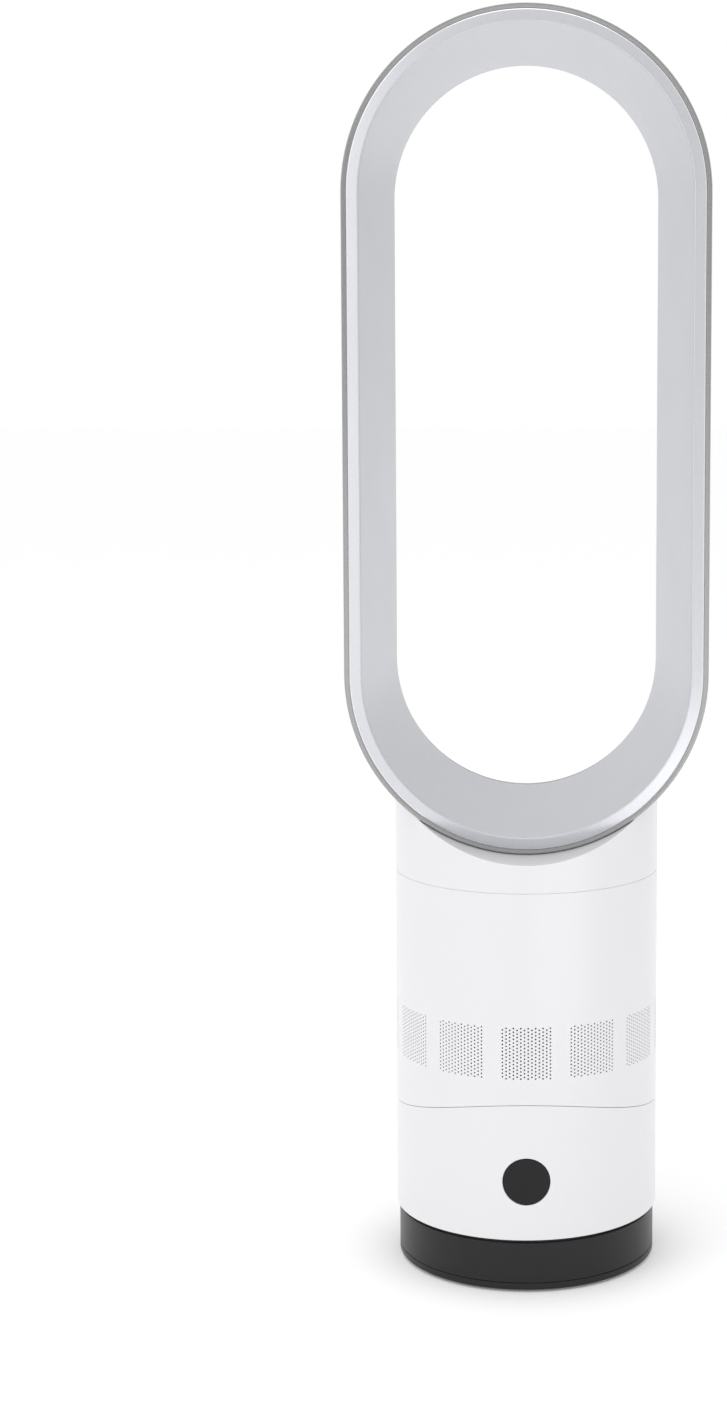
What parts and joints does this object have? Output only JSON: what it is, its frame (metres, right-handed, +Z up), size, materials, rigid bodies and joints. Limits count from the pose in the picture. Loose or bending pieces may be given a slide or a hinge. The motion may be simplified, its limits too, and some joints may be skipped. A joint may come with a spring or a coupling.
{
  "type": "bladeless tower fan",
  "caption": "Bladeless tower fan: a tall silver racetrack air loop on a white cylindrical body with perforated air intakes, a round power key and a black swinging foot.",
  "frame": {"origin": "centre of the ground contact, on the body's axis", "axes": "+Z up along the body's axis, -Y towards the front with the power key, +X to the viewer's right"},
  "size_m": [0.1968, 0.1466, 0.6901],
  "materials": {
    "white_gloss": "smooth gloss",
    "satin_silver": "satin silver paint",
    "black_satin": "satin",
    "black_key": "satin",
    "rubber": "matte",
    "steel": "bright",
    "cast_iron": "as cast",
    "grey_plastic": "moulded",
    "white_acetal": "smooth",
    "impeller_plastic": "glass-filled",
    "circuit_board": "solder mask"
  },
  "bodies": {
    "foot": {"foot_shell": "black_satin", "foot_base_plate": "black_satin", "rubber_feet": "rubber", "base_screws": "steel", "ballast_plate": "cast_iron", "pivot_hub": "grey_plastic", "hub_screws": "steel", "fixed_gear": "white_acetal", "gear_retainer": "steel", "glide_ring": "white_acetal", "power_inlet": "black_satin"},
    "lower_body": {"lower_housing": "white_gloss", "turntable_bush": "white_acetal", "motor_bracket": "steel", "swing_motor": "steel", "swing_motor_screws": "steel", "key_guide": "grey_plastic", "control_board": "circuit_board", "key_switch": "grey_plastic", "remote_receiver": "black_key", "tilt_cradle": "grey_plastic", "cradle_screws": "steel", "clamp_bolts": "steel", "clamp_plate": "grey_plastic", "clamp_washers": "steel", "clamp_nuts": "steel"},
    "pinion": {"drive_pinion": "white_acetal", "pinion_shaft": "steel"},
    "power_key": {"power_key": "black_key"},
    "main_body": {"main_housing": "white_gloss", "rocker_plate": "grey_plastic", "rocker_screws": "steel", "shroud_seal": "rubber", "impeller_shroud": "grey_plastic", "shroud_screws": "steel", "motor_pod": "grey_plastic", "pod_cap": "grey_plastic", "motor_mounts": "rubber", "mount_screws": "steel", "motor_case": "grey_plastic", "motor_case_lid": "grey_plastic", "motor_stator": "steel", "lower_bearing": "steel", "upper_bearing": "steel", "driver_board": "circuit_board", "duct_gasket": "rubber", "neck_collar": "white_gloss", "neck_screws": "steel", "loop_shell": "satin_silver", "loop_diffuser": "satin_silver", "slot_spacers": "satin_silver", "loop_screws": "steel"},
    "impeller": {"impeller_wheel": "impeller_plastic", "impeller_nut": "steel", "motor_shaft": "steel", "motor_rotor": "steel"}
  },
  "joints": [
    {"name": "swing", "type": "hinge", "parent": "foot", "child": "lower_body", "pos_m": [0, 0, 0.0335], "axis": [0, 0, 1], "range_deg": [-40, 40]},
    {"name": "pinion_turn", "type": "hinge", "parent": "lower_body", "child": "pinion", "pos_m": [0, 0.03625, 0.041], "axis": [0, 0, 1], "range_deg": [-126, 126]},
    {"name": "tilt", "type": "hinge", "parent": "lower_body", "child": "main_body", "pos_m": [0, 0, 0.2747], "axis": [1, 0, 0], "range_deg": [-10, 10]},
    {"name": "impeller_spin", "type": "hinge", "parent": "main_body", "child": "impeller", "pos_m": [0, 0, 0.165], "axis": [0, 0, 1], "continuous": true},
    {"name": "power_key_press", "type": "slide", "parent": "lower_body", "child": "power_key", "axis": [0, 1, 0], "range_m": [0, 0.0008], "stiffness_N_per_m": 1500, "springref_m": -0.0005}
  ],
  "couplings": [
    {"joint": "pinion_turn", "follows": "swing", "ratio": 3.1429}
  ]
}
